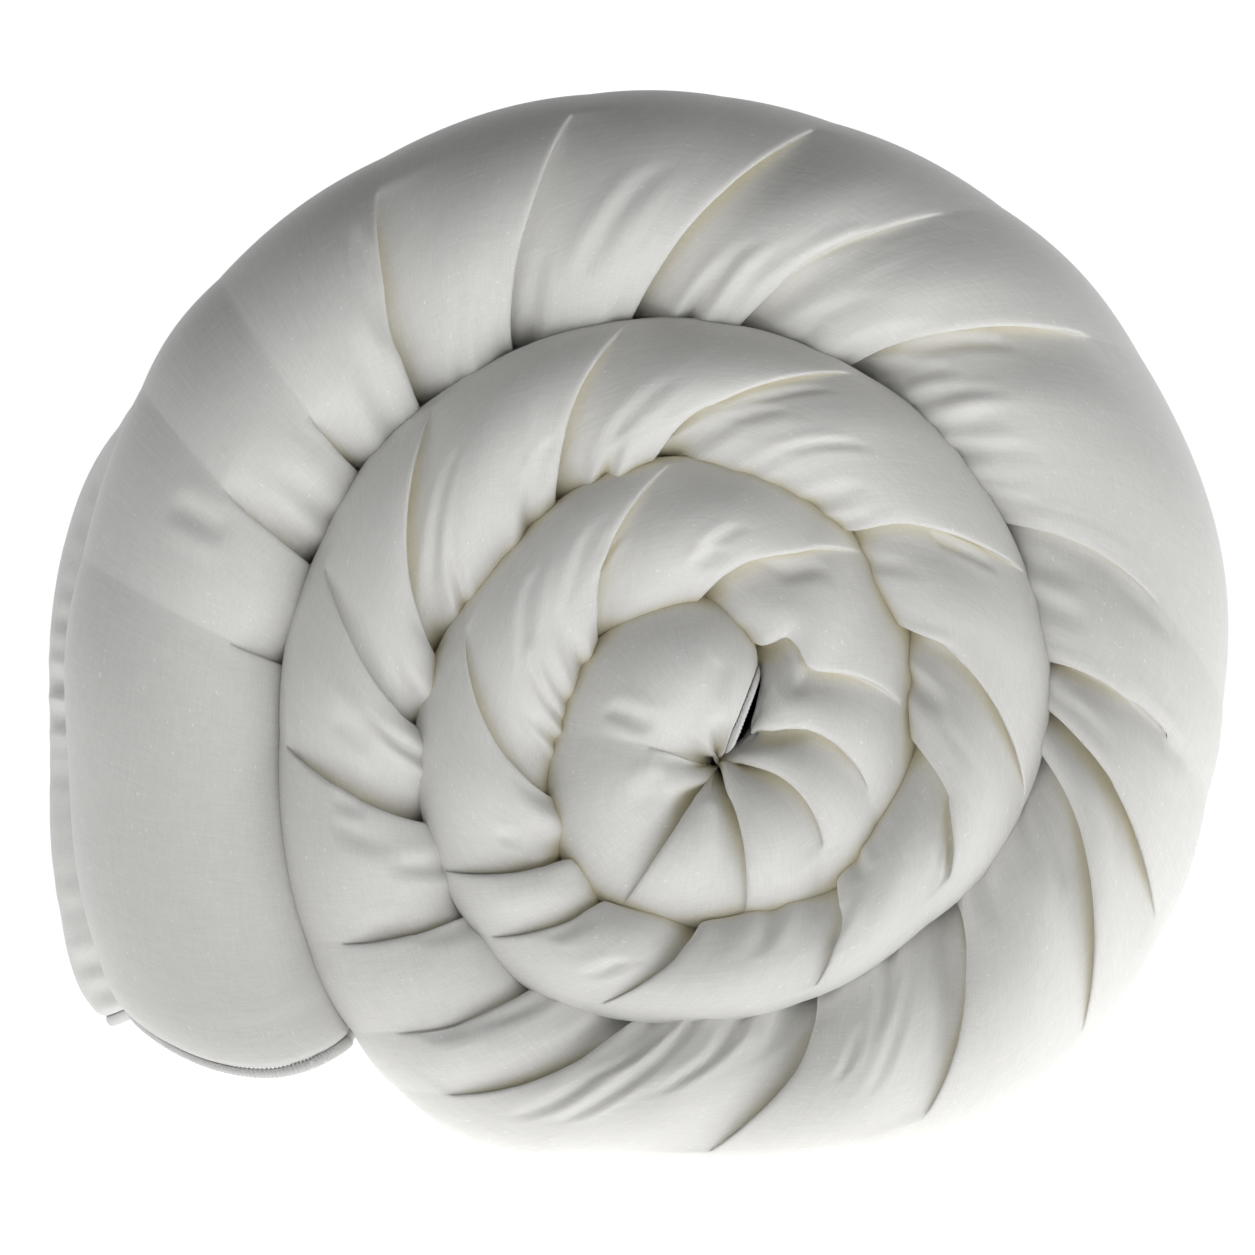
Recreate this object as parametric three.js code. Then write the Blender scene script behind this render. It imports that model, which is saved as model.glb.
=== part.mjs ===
// A single duvet, folded in half along its length and rolled up, lying on its side.
// Lengths are millimetres and angles are degrees. The roll's axis runs along Y, the folded
// edge is at its low-Y end and both side seams are at its high-Y end. Seen from low Y the
// cloth winds inwards clockwise, and its free end hangs down on the -X side.
import * as THREE from "three";

// Overall sizes
const FOLDED_DEPTH = 660; // folded edge to side seams, half of the duvet's filled width
const LAYER = 46; // one turn of the folded duvet, neither pressed nor puffed up
const EYE_RADIUS = 8; // hollow that stays open in the middle of the roll

// Sewing
const PANEL = 1; // cotton cover, each side
const CLEARANCE = 0.3; // between pieces that touch
const SEAM_FILL = 0.9; // filling caught between the panels where they come together
const SEAM_TAPER = 26; // how far in from a seam the duvet reaches its full thickness
const HEM_WIDTH = 4; // overlocked edge outside the seam
const HEM_THICKNESS = 3;
const END_HEM_STANDOFF = 0.8; // the hems across the ends follow a slanted, puffed edge

// The fold and the turns
const TURN_GAP = 1; // slack between a turn and the one under it
const LEAF_GAP = 2; // between the two halves of the folded duvet
const INNER_FOLD = 4; // how far the inside of the fold is rounded
const SHOULDER = 45; // behind the fold, where the outer wall reaches its full bulge
const FREE_END_BULGE = 8; // how far the free end's outer wall stands out past its fold
const FLOOR_PRESS = 5.5; // how far the floor flattens the lowest point of the roll

// Thickness of the turns, as a share of LAYER, at every eighth of a turn from the free end
// inwards. The weight of the roll presses the turns under the eye thinner.
const FIRST_EIGHTH = -135;
const THICKNESS = [
  ...[1.38, 1.48, 1.66],
  ...[1.59, 1.48, 1.24, 1.37, 1.12, 1.14, 0.98, 1.1],
  ...[0.95, 0.93, 0.86, 0.59, 0.61, 0.74, 0.89, 0.89],
  1.0,
];

// Radius of the innermost turn about the eye, as a share of LAYER, at every further eighth. It
// is a fat roll of its own, which closes down to the end of the cloth.
const CORE_START = 720;
const CORE_RADIUS = [2.15, 1.74, 1.37, 1.21, 1.17, 1.32, 1.22, 1.25, 1.13, 0.35, 0.35];

// Where the cloth starts, bends and ends, as clockwise turn angles from the top
const STATION_STEP = 20;
const FREE_END_OUTSIDE = -110;
const FREE_END_SLANT = 16; // the free end's inner edge reaches further round
const LIFT_ANGLE = -40; // the free end lifts about a line along Y on the outer surface here
const CORE_END = 1100;
const CORE_HEM_ROOM = 20; // further turn angle kept free for the hem at the inner end

// Care label, sewn into the outer side seam
const LABEL_ANGLE = 60;
const LABEL_WIDTH = 30;
const LABEL_LENGTH = 45;
const LABEL_THICKNESS = 0.6;

const COTTON = 0xf1f1ee;
const COTTON_BACK = 0xecebe6;
const FIBRE = 0xfafaf7;
const THREAD = 0xdedbd0;
const LABEL_SATIN = 0xffffff;

const SEAM = 2 * PANEL + 2 * CLEARANCE + SEAM_FILL;
const EIGHTH = 45;
const TURN = 360;

function mix(from, to, share) {
  return from + (to - from) * share;
}

function smooth(share) {
  const s = Math.min(Math.max(share, 0), 1);
  return s * s * (3 - 2 * s);
}

// A share listed at every eighth of a turn from a first angle, smooth in between.
function shareAt(list, first, angle) {
  const place = (angle - first) / EIGHTH;
  const last = list.length - 1;
  const i = Math.min(Math.max(Math.floor(place), 0), last - 1);
  const t = Math.min(Math.max(place - i, 0), 1);
  const value = (n) => list[Math.min(Math.max(n, 0), last)];
  const slope = (n) => (value(n + 1) - value(n - 1)) / 2;
  const step = value(i + 1) - value(i);
  const curve = slope(i) + slope(i + 1) - 2 * step;
  const bend = 3 * step - 2 * slope(i) - slope(i + 1);
  return value(i) + t * (slope(i) + t * (bend + t * curve));
}

// Distance from the eye to the inside of the turn at an angle.
function innerRadius(angle) {
  const under = angle + TURN;
  if (under > CORE_END + CORE_HEM_ROOM) return EYE_RADIUS;
  return outerRadius(Math.min(under, CORE_END)) + TURN_GAP;
}

// The same to its outside, before the floor flattens it.
function roundRadius(angle) {
  if (angle >= CORE_START) return LAYER * shareAt(CORE_RADIUS, CORE_START, angle);
  return innerRadius(angle) + LAYER * shareAt(THICKNESS, FIRST_EIGHTH, angle);
}

const FLOOR_DROP = roundRadius(TURN / 2) - FLOOR_PRESS;

function outerRadius(angle) {
  const round = roundRadius(angle);
  const down = -Math.cos(THREE.MathUtils.degToRad(angle));
  const outermost = angle < TURN - EIGHTH;
  return outermost && down > 0 ? Math.min(round, FLOOR_DROP / down) : round;
}

function bulgeAt(angle) {
  return FREE_END_BULGE * smooth((LIFT_ANGLE - STATION_STEP - angle) / (STATION_STEP + 5));
}

// The folded duvet's section across a turn, as pairs of points from the outer side seam, round
// the fold, to the inner side seam. across runs from the turn's outside to its inside, and back
// runs from the folded edge to the seams. Each pair has a point on the face and one on the back.
function foldedSection(angle) {
  const thick = outerRadius(angle) - innerRadius(angle);
  const bulge = bulgeAt(angle);
  const fold = thick / 2;
  const leaf = LEAF_GAP / 2;
  const half = [
    { face: [thick / 4 - SEAM / 2, FOLDED_DEPTH], back: [thick / 4 + SEAM / 2, FOLDED_DEPTH] },
    {
      face: [-bulge, FOLDED_DEPTH - SEAM_TAPER],
      back: [fold - leaf, FOLDED_DEPTH - SEAM_TAPER],
    },
    { face: [-bulge, fold + SHOULDER], back: [fold - leaf, fold + SHOULDER] },
    ...[0, 45].map((turned) => {
      const c = Math.cos(THREE.MathUtils.degToRad(turned));
      const s = Math.sin(THREE.MathUtils.degToRad(turned));
      return {
        face: [fold - fold * c, fold - fold * s],
        back: [fold - leaf * c, fold + INNER_FOLD * (1 - s)],
      };
    }),
  ];
  const mirror = ([across, back]) => [thick - Math.max(across, 0), back];
  const crown = { face: [fold, 0], back: [fold, fold] };
  const other = half.map((pair) => ({ face: mirror(pair.face), back: mirror(pair.back) }));
  return { thick, pairs: [...half, crown, ...other.reverse()] };
}

// Draws a pair in to a seam's thickness, keeping its middle.
function drawnIn(pair, share) {
  const whole = Math.hypot(pair.back[0] - pair.face[0], pair.back[1] - pair.face[1]);
  const keep = mix(1, Math.min(SEAM / whole, 1), share);
  const middle = [0, 1].map((k) => (pair.face[k] + pair.back[k]) / 2);
  const toMiddle = (point) => point.map((value, k) => mix(middle[k], value, keep));
  return { face: toMiddle(pair.face), back: toMiddle(pair.back) };
}

// A station holds its pairs and each pair's own turn angle.
function station(angle, endShare = 0, slant = 0) {
  const { thick, pairs } = foldedSection(angle);
  return pairs.map((pair) => {
    const drawn = drawnIn(pair, endShare);
    const across = (drawn.face[0] + drawn.back[0]) / 2;
    return { ...drawn, angle: angle - slant * Math.min(Math.max(across / thick, 0), 1) };
  });
}

function placeAt(angle, radius, back) {
  const turned = THREE.MathUtils.degToRad(angle);
  return new THREE.Vector3(radius * Math.sin(turned), back, radius * Math.cos(turned));
}

function place(angle, across, back) {
  return placeAt(angle, outerRadius(angle) - across, back);
}

// A point of a pair, a given depth in from its face towards its back.
function inPair(pair, depth) {
  const whole = Math.hypot(pair.back[0] - pair.face[0], pair.back[1] - pair.face[1]);
  const share = depth(whole) / whole;
  return place(
    pair.angle,
    mix(pair.face[0], pair.back[0], share),
    mix(pair.face[1], pair.back[1], share),
  );
}

// Half of the gap between the free end and the rest of the roll, as a turn angle.
const LIFT_GAP = THREE.MathUtils.radToDeg(CLEARANCE / innerRadius(LIFT_ANGLE) / 2);

function freeEndStations() {
  const stations = [station(FREE_END_OUTSIDE, 1, FREE_END_SLANT)];
  const first = Math.ceil((FREE_END_OUTSIDE + EIGHTH / 6) / STATION_STEP) * STATION_STEP;
  for (let angle = first; angle < LIFT_ANGLE; angle += STATION_STEP) stations.push(station(angle));
  stations.push(station(LIFT_ANGLE - LIFT_GAP));
  return stations;
}

function rollStations() {
  const stations = [station(LIFT_ANGLE + LIFT_GAP)];
  const first = Math.ceil(LIFT_ANGLE / STATION_STEP + 0.5) * STATION_STEP;
  for (let angle = first; angle < CORE_END; angle += STATION_STEP) stations.push(station(angle));
  stations.push(station(CORE_END, 1));
  return stations;
}

// A closed solid through rings of points, each ring going round the section the same way. The
// second half of a ring runs back along the first, so its faces are split along the other
// diagonal, and layers that lie on each other stay the same distance apart all over.
function sweptSolid(rings, capPairs) {
  const count = rings[0].length;
  const positions = rings.flat().flatMap((point) => [point.x, point.y, point.z]);
  const index = [];
  for (let ring = 0; ring + 1 < rings.length; ring += 1) {
    for (let k = 0; k < count; k += 1) {
      const a = ring * count + k;
      const b = ring * count + ((k + 1) % count);
      if (k < count / 2) index.push(a, b, a + count, b, b + count, a + count);
      else index.push(a, b, b + count, a, b + count, a + count);
    }
  }
  const last = (rings.length - 1) * count;
  for (const [a, b, c, d] of capPairs) {
    index.push(a, c, b, a, d, c);
    index.push(last + a, last + b, last + c, last + a, last + c, last + d);
  }
  const geometry = new THREE.BufferGeometry();
  geometry.setAttribute("position", new THREE.Float32BufferAttribute(positions, 3));
  geometry.setIndex(index);
  geometry.computeVertexNormals();
  return geometry;
}

// One layer of the duvet, between two depths under its face.
function layer(stations, from, to) {
  const rings = stations.map((pairs) => [
    ...pairs.map((pair) => inPair(pair, from)),
    ...pairs.map((pair) => inPair(pair, to)).reverse(),
  ]);
  const count = rings[0].length;
  const caps = [];
  for (let k = 0; k + 1 < count / 2; k += 1) caps.push([k, k + 1, count - 2 - k, count - 1 - k]);
  return sweptSolid(rings, caps);
}

function facePanel(stations) {
  return layer(stations, () => 0, () => PANEL);
}

function filling(stations) {
  const skin = PANEL + CLEARANCE;
  return layer(stations, () => skin, (whole) => whole - skin);
}

function backPanel(stations) {
  return layer(stations, (whole) => whole - PANEL, (whole) => whole);
}

// The overlocked edge along a side seam: end is 0 for the outer seam and -1 for the inner one.
function sideHem(stations, end) {
  const low = FOLDED_DEPTH + CLEARANCE;
  const rings = stations.map((pairs) => {
    const pair = pairs.at(end);
    const middle = (pair.face[0] + pair.back[0]) / 2;
    const outside = middle - HEM_THICKNESS / 2;
    const inside = middle + HEM_THICKNESS / 2;
    return [
      place(pair.angle, outside, low + HEM_WIDTH),
      place(pair.angle, outside, low),
      place(pair.angle, inside, low),
      place(pair.angle, inside, low + HEM_WIDTH),
    ];
  });
  return sweptSolid(rings, [[0, 1, 2, 3]]);
}

// The overlocked edge across an end of the duvet, from side seam to side seam round the fold.
// way is -1 where it stands off towards lower turn angles, and 1 towards higher ones.
function endHem(pairs, way) {
  const rings = pairs.map((pair) => {
    const middle = [0, 1].map((k) => (pair.face[k] + pair.back[k]) / 2);
    const whole = Math.hypot(pair.back[0] - pair.face[0], pair.back[1] - pair.face[1]);
    const lean = [0, 1].map((k) => ((pair.back[k] - pair.face[k]) / whole) * (HEM_THICKNESS / 2));
    const corner = (off, side) => {
      const across = middle[0] + side * lean[0];
      const radius = outerRadius(pair.angle) - across;
      const angle = pair.angle + way * THREE.MathUtils.radToDeg(off / radius);
      return placeAt(angle, radius, middle[1] + side * lean[1]);
    };
    const near = END_HEM_STANDOFF;
    const far = END_HEM_STANDOFF + HEM_WIDTH;
    const ring = [corner(near, -1), corner(far, -1), corner(far, 1), corner(near, 1)];
    return way < 0 ? ring : ring.reverse();
  });
  return sweptSolid(rings, [[0, 1, 2, 3]]);
}

// A blank label hanging down behind the outer side seam.
function careLabel() {
  const pair = station(LABEL_ANGLE)[0];
  const back = FOLDED_DEPTH + 2 * CLEARANCE + HEM_WIDTH + LABEL_THICKNESS / 2;
  const top = place(LABEL_ANGLE, (pair.face[0] + pair.back[0]) / 2, back);
  const geometry = new THREE.BoxGeometry(LABEL_WIDTH, LABEL_THICKNESS, LABEL_LENGTH);
  geometry.translate(top.x, top.y, top.z - LABEL_LENGTH / 2 + HEM_THICKNESS / 2);
  return geometry;
}

function piece(name, geometry, color, roughness) {
  const material = new THREE.MeshStandardMaterial({ color, roughness, metalness: 0 });
  const mesh = new THREE.Mesh(geometry, material);
  mesh.name = name;
  return mesh;
}

// Every piece of one body: the panels, the filling and the side hems, along its stations.
function body(prefix, stations) {
  const group = new THREE.Group();
  group.add(piece(`${prefix}_face_panel`, facePanel(stations), COTTON, 0.85));
  group.add(piece(`${prefix}_filling`, filling(stations), FIBRE, 0.95));
  group.add(piece(`${prefix}_back_panel`, backPanel(stations), COTTON_BACK, 0.85));
  group.add(piece(`${prefix}_outer_side_hem`, sideHem(stations, 0), THREAD, 0.8));
  group.add(piece(`${prefix}_inner_side_hem`, sideHem(stations, -1), THREAD, 0.8));
  return group;
}

function freeEnd() {
  const stations = freeEndStations();
  const group = body("free_end", stations);
  group.add(piece("free_end_hem", endHem(stations[0], -1), THREAD, 0.8));
  return group;
}

function roll() {
  const stations = rollStations();
  const group = body("roll", stations);
  group.add(piece("core_end_hem", endHem(stations.at(-1), 1), THREAD, 0.8));
  group.add(piece("care_label", careLabel(), LABEL_SATIN, 0.5));
  return group;
}

// The origin is on the floor, under the middle of the duvet's box.
const duvet = new THREE.Group();
duvet.name = "rolled_duvet";
duvet.add(roll(), freeEnd());
const box = new THREE.Box3().setFromObject(duvet, true);
const middle = box.getCenter(new THREE.Vector3());
duvet.position.set(-middle.x, -middle.y, -box.min.z);

export default duvet;
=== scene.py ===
"""A single duvet, folded in half along its length and rolled up, lying on its side.

The cloth is laid out as a grid: columns run across the folded duvet from its outer side seam,
round the fold that faces the camera, to its inner side seam, and follow the pleats. Rows run
along the duvet, from the free end to the end in the middle of the roll. An array of the grid's
points has the columns as its first axis. Lengths are metres.
"""
import math

import bpy
import numpy as np
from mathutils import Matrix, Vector


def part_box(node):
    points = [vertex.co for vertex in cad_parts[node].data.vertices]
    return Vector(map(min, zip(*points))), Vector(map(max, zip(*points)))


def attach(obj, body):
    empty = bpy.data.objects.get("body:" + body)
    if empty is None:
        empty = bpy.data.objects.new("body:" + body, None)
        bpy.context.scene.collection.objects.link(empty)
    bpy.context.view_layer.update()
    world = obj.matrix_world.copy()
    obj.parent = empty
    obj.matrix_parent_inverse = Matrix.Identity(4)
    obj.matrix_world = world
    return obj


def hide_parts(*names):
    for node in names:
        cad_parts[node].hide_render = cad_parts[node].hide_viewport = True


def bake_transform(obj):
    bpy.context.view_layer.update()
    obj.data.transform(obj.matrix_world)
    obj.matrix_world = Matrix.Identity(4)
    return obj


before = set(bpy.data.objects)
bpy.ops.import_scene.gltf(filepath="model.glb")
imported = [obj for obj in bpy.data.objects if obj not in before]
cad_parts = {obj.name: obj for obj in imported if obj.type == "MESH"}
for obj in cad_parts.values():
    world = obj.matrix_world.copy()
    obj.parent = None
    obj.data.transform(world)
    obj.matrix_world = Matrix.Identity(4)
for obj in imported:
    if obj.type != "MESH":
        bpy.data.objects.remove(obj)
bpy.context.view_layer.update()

MM = 0.001

# The roll: the CAD model's sizes, except that the hollow in the middle, the eye, closes sooner and
# to 3 mm. Turn angles are degrees clockwise from the top and grow towards the middle.
EYE_X = 27.4 * MM
EYE_Z = 129.9 * MM
LAYER = 46 * MM
EYE_RADIUS = 3 * MM
TURN_GAP = 1 * MM
LEAF_GAP = 2 * MM
INNER_FOLD = 4 * MM
SEAM = 2.4 * MM
SEAM_TAPER = 26 * MM
FREE_END_BULGE = 8 * MM
SHOULDER = 45 * MM
EIGHTH = 45  # degrees between the shares listed in THICKNESS and CORE_RADIUS, which are of LAYER
FIRST_EIGHTH = -135
FIRST_ANGLE = -140.0
LAST_ANGLE = 1130.0
ANGLE_STEP = 0.5
THICKNESS = [
    *(1.38, 1.48, 1.66),
    *(1.59, 1.48, 1.24, 1.37, 1.12, 1.14, 0.98, 1.1),
    *(0.95, 0.93, 0.86, 0.59, 0.61, 0.74, 0.89, 0.89),
    1.0,
]
CORE_START = 720
CORE_RADIUS = [2.15, 1.74, 1.37, 1.21, 1.17, 1.32, 1.22, 1.25, 1.13, 0.35, 0.35]
CORE_END = 1100
CORE_HEM_ROOM = 4
CORE_CLOSES_OVER = 26
ON_FLOOR_UNTIL = 315  # the turn angle up to which the floor can flatten the cloth

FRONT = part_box("roll_face_panel")[0].y
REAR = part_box("roll_face_panel")[1].y
DEPTH = REAR - FRONT
BACKWARD = np.array([0, 1.0, 0])

# Pleats, from the free end inwards: the turn angle of each at the inner crease and at the outer
# one, how far across the turn it reaches, and how deep it is at the inner crease (mm).
PLEATS = [
    (-77, -72, 0.25, 5),
    (-64, -57, 0.45, 6),
    (-51, -46, 0.30, 6),
    (-41, -29, 0.86, 13),
    (-27.5, -11, 0.90, 14),
    (-12, 10, 0.94, 14),
    (2, 27, 0.80, 6),
    (17, 46, 0.82, 14),
    (49, 83, 0.60, 6),
    (72, 94, 0.67, 7),
    (79, 112, 0.93, 12),
    (86, 129, 0.95, 12),
    (119, 157, 0.82, 12),
    (155, 185, 0.90, 12),
    (197, 225, 0.82, 11),
    (220, 234, 0.75, 5),
    (239, 247, 0.75, 7),
    (258, 274, 0.93, 12),
    (276, 299, 0.90, 8),
    (289, 323, 0.95, 12),
    (327, 349, 0.97, 11),
    (346, 381, 0.93, 11),
    (387, 419, 0.97, 11),
    (413, 458, 0.97, 10),
    (443, 488, 0.75, 9),
    (495, 521, 0.85, 8),
    (548, 570, 0.87, 7),
    (581, 595, 0.90, 7),
    (598, 610, 0.97, 9),
    (618, 664, 0.88, 9),
    (675, 713, 0.95, 8),
    (711, 756, 0.95, 10),
    (732, 799, 0.90, 10),
    (756, 838, 0.78, 10),
    (805, 866, 0.74, 9),
    (880, 893, 0.94, 9),
    (938, 936, 0.92, 9),
    (1010, 1000, 0.40, 3),
]
FREE_END = (-126, -112.5)  # the same two turn angles for the free end
SPLIT = 4  # the pleat where the free end's cloth meets the roll's
INNER_TURNS = 18  # the pleat past which the cloth is covered by the outer turn


# --------------------------------------------------------------------------- camera and studio
CAMERA_FAR = 3.0
SENSOR_WIDTH = 36
VIEW_WIDTH = 406.6 * MM
VIEW_CENTRE = (-2.8 * MM, 174.5 * MM)
VIEW_END = 50
FLOOR_Z = -0.4 * MM
FLOOR_HALF = 8
FLOOR_SHADE = 0.9
FLOOR_GLOW = 0.8
DAYLIGHT = (0.98, 0.99, 1.0)
BRIGHT_SIDE = (0.5, 0.9, -0.15)
TOWARDS_IT = (-0.1, 0.8)  # how far towards the bright side the room starts and stops brightening
ROOM_LIGHT = (0.03, 1.05)  # the room's brightness at those two
LIGHTS = [
    ("left_soft_box", (0.8, 1.2), (-1.5, 0.5, 0.5), 3),
    ("right_soft_box", (0.6, 0.4), (1.4, -0.6, 0.1), 2),
    ("low_soft_box", (0.9, 0.08), (0.25, -0.62, 0.05), 0.4),
    ("top_soft_box", (1.6, 0.8), (0.2, 0.8, 1.5), 4),
]


def make_camera():
    data = bpy.data.cameras.new("camera")
    data.sensor_width = SENSOR_WIDTH
    data.lens = data.sensor_width * CAMERA_FAR / VIEW_WIDTH
    data.clip_end = VIEW_END
    camera = bpy.data.objects.new("camera", data)
    bpy.context.scene.collection.objects.link(camera)
    camera.location = (VIEW_CENTRE[0], FRONT - CAMERA_FAR, VIEW_CENTRE[1])
    camera.rotation_euler = (math.radians(90), 0, 0)
    bpy.context.scene.camera = camera


def plain_material(name, colour, roughness):
    made = bpy.data.materials.new(name)
    made.use_nodes = True
    shader = made.node_tree.nodes["Principled BSDF"]
    shader.inputs["Base Color"].default_value = (*colour, 1)
    shader.inputs["Roughness"].default_value = roughness
    return made


def mapped(tree, value, source, result=(0, 1)):
    """A shader value carried over from one range to another."""
    added = tree.nodes.new("ShaderNodeMapRange")
    ends = {"From Min": source[0], "From Max": source[1], "To Min": result[0], "To Max": result[1]}
    for name, end in ends.items():
        added.inputs[name].default_value = end
    tree.links.new(value, added.inputs["Value"])
    return added.outputs["Result"]


def area_light(name, size, place, power):
    """A soft box that looks at the middle of the roll."""
    data = bpy.data.lights.new(name, "AREA")
    data.shape = "RECTANGLE"
    data.size, data.size_y = size
    data.energy = power
    light = bpy.data.objects.new(name, data)
    light.location = place
    aim = Vector((0, 0, EYE_Z)) - Vector(place)
    light.rotation_euler = aim.to_track_quat("-Z", "Y").to_euler()
    bpy.context.scene.collection.objects.link(light)


def make_studio():
    """A white room, brightest behind the roll and to its right, with soft boxes round it and a floor
    that glows like a lit backdrop."""
    scene = bpy.context.scene
    scene.view_settings.view_transform = "Standard"
    scene.world = bpy.data.worlds.new("studio")
    scene.world.use_nodes = True
    tree = scene.world.node_tree
    background = tree.nodes["Background"]
    background.inputs["Color"].default_value = (*DAYLIGHT, 1)
    way = tree.nodes.new("ShaderNodeTexCoord")
    towards = tree.nodes.new("ShaderNodeVectorMath")
    towards.operation = "DOT_PRODUCT"
    towards.inputs[1].default_value = BRIGHT_SIDE
    tree.links.new(way.outputs["Generated"], towards.inputs[0])
    brightness = mapped(tree, towards.outputs["Value"], TOWARDS_IT, ROOM_LIGHT)
    tree.links.new(brightness, background.inputs["Strength"])
    mesh = bpy.data.meshes.new("floor")
    half = FLOOR_HALF
    corners = [(-half, -half, 0), (half, -half, 0), (half, half, 0), (-half, half, 0)]
    mesh.from_pydata(corners, [], [(0, 1, 2, 3)])
    paint = plain_material("floor", (FLOOR_SHADE,) * 3, 0.9)
    glow = paint.node_tree.nodes["Principled BSDF"].inputs
    glow["Emission Color"].default_value = (1, 1, 1, 1)
    glow["Emission Strength"].default_value = FLOOR_GLOW
    mesh.materials.append(paint)
    floor = bpy.data.objects.new("floor", mesh)
    floor.location.z = FLOOR_Z
    scene.collection.objects.link(floor)
    for light in LIGHTS:
        area_light(*light)


make_camera()
make_studio()


# --------------------------------------------------------------------------- the spiral
def smooth(x):
    """From 0 at 0 to 1 at 1, levelling out at both."""
    x = np.clip(x, 0, 1)
    return x * x * (3 - 2 * x)


def mix(a, b, share):
    return a + (b - a) * share


def share_at(values, first, angle):
    """A share listed at every eighth of a turn from a first angle, smooth in between."""
    values = np.asarray(values, float)
    last = len(values) - 1
    place = (np.asarray(angle, float) - first) / EIGHTH
    i = np.clip(np.floor(place), 0, last - 1).astype(int)
    t = np.clip(place - i, 0, 1)

    def value(n):
        return values[np.clip(n, 0, last)]

    def slope(n):
        return (value(n + 1) - value(n - 1)) / 2

    step = value(i + 1) - value(i)
    curve = slope(i) + slope(i + 1) - 2 * step
    bend = 3 * step - 2 * slope(i) - slope(i + 1)
    return value(i) + t * (slope(i) + t * (bend + t * curve))


def round_radius(angle):
    """Distance from the eye to the outside of a turn, before the floor flattens it."""
    core = LAYER * share_at(CORE_RADIUS, CORE_START, angle)
    if np.all(angle >= CORE_START):
        return core
    inside = inner_radius(np.minimum(angle, CORE_START - 0.01))
    stacked = inside + LAYER * share_at(THICKNESS, FIRST_EIGHTH, angle)
    return np.where(angle >= CORE_START, core, stacked)


def inner_radius(angle):
    """Distance from the eye to the inside of a turn: it lies on the next turn in, and past the end
    of the cloth it closes on the eye."""
    under = angle + 360
    inside = outer_radius(np.minimum(under, CORE_END)) + TURN_GAP
    closing = smooth((under - CORE_END - CORE_HEM_ROOM) / CORE_CLOSES_OVER)
    return inside + (EYE_RADIUS - inside) * closing


def outer_radius(angle):
    """Distance from the eye to the outside of a turn, flattened where it rests on the floor."""
    whole = round_radius(angle)
    down = -np.cos(np.radians(angle))
    flat = EYE_Z / np.maximum(down, 0.001)
    pressed = (angle < ON_FLOOR_UNTIL) & (down > 0)
    return np.where(pressed, np.minimum(whole, flat), whole)


ANGLES = np.arange(FIRST_ANGLE, LAST_ANGLE, ANGLE_STEP)
OUTER = outer_radius(ANGLES)
INNER = inner_radius(ANGLES)


# --------------------------------------------------------------------------- the cloth's grid
OUTER_WALL, CROWN, INNER_WALL = 1, 2, 3
OUTER_TAPER, INNER_TAPER = 0, 4
COLUMN_STEP = 1.35 * MM
CROWDING = 0.4
CROWN_ROWS = 50
TAPER_ROWS = 6
SHOWN_ROWS = 56
HIDDEN_ROWS = 12
END_ROUNDING = 15 * MM
CORE_END_SHARPER = 1.6
SEAM_SHARE = 0.1
END_BOW_FROM = -78
LEAST_COLUMNS = 6
OUTER_WALL_CROWDING = 1.25
INNER_WALL_CROWDING = 1.9
PRESSED = 2.4 * MM  # how far a turn presses into the one inside it
PRESSED_ACROSS = 0.4
PRESSED_BEHIND = 40 * MM
PRESSED_UNTIL = CORE_END - 340
BULGE_START = -50
BULGE_OVER = 25
SHOULDER_FROM = 6 * MM
SHOULDER_RISE = SHOULDER - 14 * MM
GATHER = 1.2 * MM
GATHER_AT, GATHER_WIDE = 20 * MM, 13 * MM
VALLEY = 3.5 * MM
VALLEY_AT, VALLEY_WIDE = 7 * MM, 6 * MM
LOBE = 2 * MM
LOBE_ANGLE = -104
LOBE_REACH = 9
LOBE_BEHIND = 30 * MM
WAVES = 9
WAVE_SPREAD = (0.7, 1.5)
GATHER_SPREAD = (0.75, 1.6)


def columns():
    """Each column's turn angle at the inner and at the outer crease, its leaf, which is the cloth
    between two pleats, and its place from one pleat to the next."""
    knots = [FREE_END, *[pleat[:2] for pleat in PLEATS], (CORE_END, CORE_END)]
    inner, outer, leaf, place = [], [], [], []
    for k, (first, last) in enumerate(zip(knots[:-1], knots[1:])):
        middle = (sum(first) + sum(last)) / 4
        radius = np.interp(middle, ANGLES, (OUTER + INNER) / 2)
        wide = math.radians((sum(last) - sum(first)) / 2) * radius
        count = max(LEAST_COLUMNS, round(wide / COLUMN_STEP))
        even = np.arange(count) / count
        crowded = even - CROWDING * np.sin(2 * math.pi * even) / (2 * math.pi)
        inner.extend(mix(first[0], last[0], crowded))
        outer.extend(mix(first[1], last[1], crowded))
        leaf.extend([k] * count)
        place.extend(crowded)
    inner.append(CORE_END)
    outer.append(CORE_END)
    leaf.append(len(knots) - 2)
    place.append(1.0)
    return (np.array(v) for v in (inner, outer, leaf, place))


def rows(outer_wall, crown, inner_wall):
    """The rows across the folded duvet: the part that each is in, and its share of that part."""
    taper = np.arange(TAPER_ROWS) / TAPER_ROWS
    listed = [(OUTER_TAPER, t) for t in taper]
    for n in range(outer_wall):
        listed.append((OUTER_WALL, 1 - (1 - n / outer_wall) ** OUTER_WALL_CROWDING))
    listed += [(CROWN, n / crown) for n in range(crown + 1)]
    for n in range(inner_wall):
        listed.append((INNER_WALL, ((n + 1) / inner_wall) ** INNER_WALL_CROWDING))
    listed += [(INNER_TAPER, t + 1 / TAPER_ROWS) for t in taper]
    part, share = zip(*listed)
    return np.array(part), np.array(share)


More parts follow.
